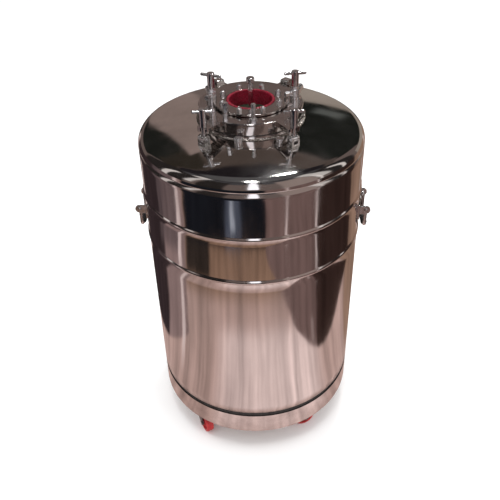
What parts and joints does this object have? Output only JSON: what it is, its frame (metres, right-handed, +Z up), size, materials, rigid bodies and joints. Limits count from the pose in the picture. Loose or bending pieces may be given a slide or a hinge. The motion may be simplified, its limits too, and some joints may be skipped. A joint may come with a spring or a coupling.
{
  "type": "liquid nitrogen dewar",
  "caption": "Polished steel vacuum-insulated cryogenic dewar on castors, with a clamped valve cover, lift-out neck plug, tee-handled valves and side handles.",
  "frame": {"origin": "on the floor, under the middle of the vessel", "axes": "+Z up along the neck, -Y is the front with the two swing bolts, +X to the right seen from the front"},
  "size_m": [0.5074, 0.4642, 0.857],
  "materials": {
    "polished_steel": "mirror polished stainless steel sheet",
    "base_steel": "mirror polished stainless steel, pressed",
    "turned_steel": "turned and polished stainless steel",
    "fitting_steel": "machined stainless steel",
    "bracket_steel": "polished stainless steel plate and rod",
    "inner_steel": "mill finish stainless steel",
    "zinc_steel": "zinc plated pressed steel",
    "wheel_red": "moulded red polyurethane",
    "grip_black": "moulded rubber sleeve",
    "seal_red": "moulded silicone rubber",
    "rubber_black": "extruded rubber",
    "glass_epoxy": "dark green glass-epoxy laminate",
    "foam": "rigid closed-cell foam",
    "insulation_foil": "crinkled metallised film",
    "pouch_cloth": "woven glass cloth"
  },
  "bodies": {
    "vessel": {"outer_shell": "polished_steel", "top_head": "polished_steel", "bottom_head": "inner_steel", "vacuum_port": "fitting_steel", "vacuum_port_cap": "fitting_steel", "casing_relief_plug": "fitting_steel", "inner_shell": "inner_steel", "inner_top_head": "inner_steel", "inner_bottom_head": "inner_steel", "superinsulation_wrap": "insulation_foil", "adsorbent_pouch": "pouch_cloth", "bottom_spacer": "glass_epoxy", "neck_tube": "glass_epoxy", "neck_collar": "polished_steel", "outer_cover_gasket": "rubber_black", "inner_cover_gasket": "rubber_black", "neck_cover": "polished_steel", "neck_seal_ring": "seal_red", "seal_clamp_ring": "polished_steel", "clamp_ring_nuts": "fitting_steel", "rear_claws": "bracket_steel", "liquid_valve_body": "fitting_steel", "vent_valve_body": "fitting_steel", "valve_glands": "fitting_steel", "dip_tube": "fitting_steel", "vent_tube": "fitting_steel", "relief_valve": "fitting_steel", "burst_disc_holder": "fitting_steel", "swing_lugs": "bracket_steel", "swing_pins": "turned_steel", "handle_brackets": "bracket_steel", "base_tray": "base_steel", "base_rubber_ring": "rubber_black", "bottom_boss": "inner_steel", "hold_down_fasteners": "zinc_steel", "castor_plates": "zinc_steel", "castor_bolts": "zinc_steel"},
    "neck_plug": {"plug_foam": "foam", "plug_cap": "glass_epoxy", "plug_stem": "turned_steel"},
    "liquid_valve_knob": {"liquid_valve_handle": "turned_steel", "liquid_valve_spindle": "turned_steel"},
    "vent_valve_knob": {"vent_valve_handle": "turned_steel", "vent_valve_spindle": "turned_steel"},
    "swing_bolt_left": {"swing_bolt_left": "turned_steel"},
    "tee_nut_left": {"tee_nut_left": "turned_steel"},
    "swing_bolt_right": {"swing_bolt_right": "turned_steel"},
    "tee_nut_right": {"tee_nut_right": "turned_steel"},
    "handle_right": {"bail_right": "bracket_steel", "grip_right": "grip_black"},
    "handle_left": {"bail_left": "bracket_steel", "grip_left": "grip_black"},
    "castor_front_left": {"castor_fork_front_left": "zinc_steel"},
    "wheel_front_left": {"castor_wheel_front_left": "wheel_red"},
    "castor_front_right": {"castor_fork_front_right": "zinc_steel"},
    "wheel_front_right": {"castor_wheel_front_right": "wheel_red"},
    "castor_rear_left": {"castor_fork_rear_left": "zinc_steel"},
    "wheel_rear_left": {"castor_wheel_rear_left": "wheel_red"},
    "castor_rear_right": {"castor_fork_rear_right": "zinc_steel"},
    "wheel_rear_right": {"castor_wheel_rear_right": "wheel_red"}
  },
  "joints": [
    {"name": "neck_plug_lift", "type": "slide", "parent": "vessel", "child": "neck_plug", "axis": [0, 0, 1], "range_m": [0, 0.14]},
    {"name": "liquid_valve_turn", "type": "hinge", "parent": "vessel", "child": "liquid_valve_knob", "pos_m": [-0.077, 0.012, 0.83], "axis": [0, 0, 1], "range_deg": [0, 810]},
    {"name": "vent_valve_turn", "type": "hinge", "parent": "vessel", "child": "vent_valve_knob", "pos_m": [0.088, 0.012, 0.83], "axis": [0, 0, 1], "range_deg": [0, 810]},
    {"name": "swing_bolt_left_swing", "type": "hinge", "parent": "vessel", "child": "swing_bolt_left", "pos_m": [-0.08936, -0.11035, 0.778], "axis": [0.7771, -0.6293, 0], "range_deg": [0, 80]},
    {"name": "tee_nut_left_spin", "type": "hinge", "parent": "swing_bolt_left", "child": "tee_nut_left", "pos_m": [-0.08936, -0.11035, 0.82], "axis": [0, 0, 1], "range_deg": [0, 450]},
    {"name": "swing_bolt_right_swing", "type": "hinge", "parent": "vessel", "child": "swing_bolt_right", "pos_m": [0.07734, -0.11909, 0.778], "axis": [0.8387, 0.5446, 0], "range_deg": [0, 80]},
    {"name": "tee_nut_right_spin", "type": "hinge", "parent": "swing_bolt_right", "child": "tee_nut_right", "pos_m": [0.07734, -0.11909, 0.82], "axis": [0, 0, 1], "range_deg": [0, 450]},
    {"name": "handle_right_lift", "type": "hinge", "parent": "vessel", "child": "handle_right", "pos_m": [0.24267, -0.01272, 0.57], "axis": [-0.0523, -0.9986, 0], "range_deg": [0, 90]},
    {"name": "handle_left_lift", "type": "hinge", "parent": "vessel", "child": "handle_left", "pos_m": [-0.24267, 0.01272, 0.57], "axis": [0.0523, 0.9986, 0], "range_deg": [0, 90]},
    {"name": "castor_front_left_swivel", "type": "hinge", "parent": "vessel", "child": "castor_front_left", "pos_m": [-0.137, -0.137, 0.055], "axis": [0, 0, 1], "continuous": true},
    {"name": "wheel_front_left_roll", "type": "hinge", "parent": "castor_front_left", "child": "wheel_front_left", "pos_m": [-0.1261, -0.15838, 0.025], "axis": [0.891, 0.454, 0], "continuous": true},
    {"name": "castor_front_right_swivel", "type": "hinge", "parent": "vessel", "child": "castor_front_right", "pos_m": [0.137, -0.137, 0.055], "axis": [0, 0, 1], "continuous": true},
    {"name": "wheel_front_right_roll", "type": "hinge", "parent": "castor_front_right", "child": "wheel_front_right", "pos_m": [0.11445, -0.14521, 0.025], "axis": [0.342, -0.9397, 0], "continuous": true},
    {"name": "castor_rear_left_swivel", "type": "hinge", "parent": "vessel", "child": "castor_rear_left", "pos_m": [-0.137, 0.137, 0.055], "axis": [0, 0, 1], "continuous": true},
    {"name": "wheel_rear_left_roll", "type": "hinge", "parent": "castor_rear_left", "child": "wheel_rear_left", "pos_m": [-0.15955, 0.14521, 0.025], "axis": [-0.342, -0.9397, 0], "continuous": true},
    {"name": "castor_rear_right_swivel", "type": "hinge", "parent": "vessel", "child": "castor_rear_right", "pos_m": [0.137, 0.137, 0.055], "axis": [0, 0, 1], "continuous": true},
    {"name": "wheel_rear_right_roll", "type": "hinge", "parent": "castor_rear_right", "child": "wheel_rear_right", "pos_m": [0.15955, 0.14521, 0.025], "axis": [-0.342, 0.9397, 0], "continuous": true}
  ]
}
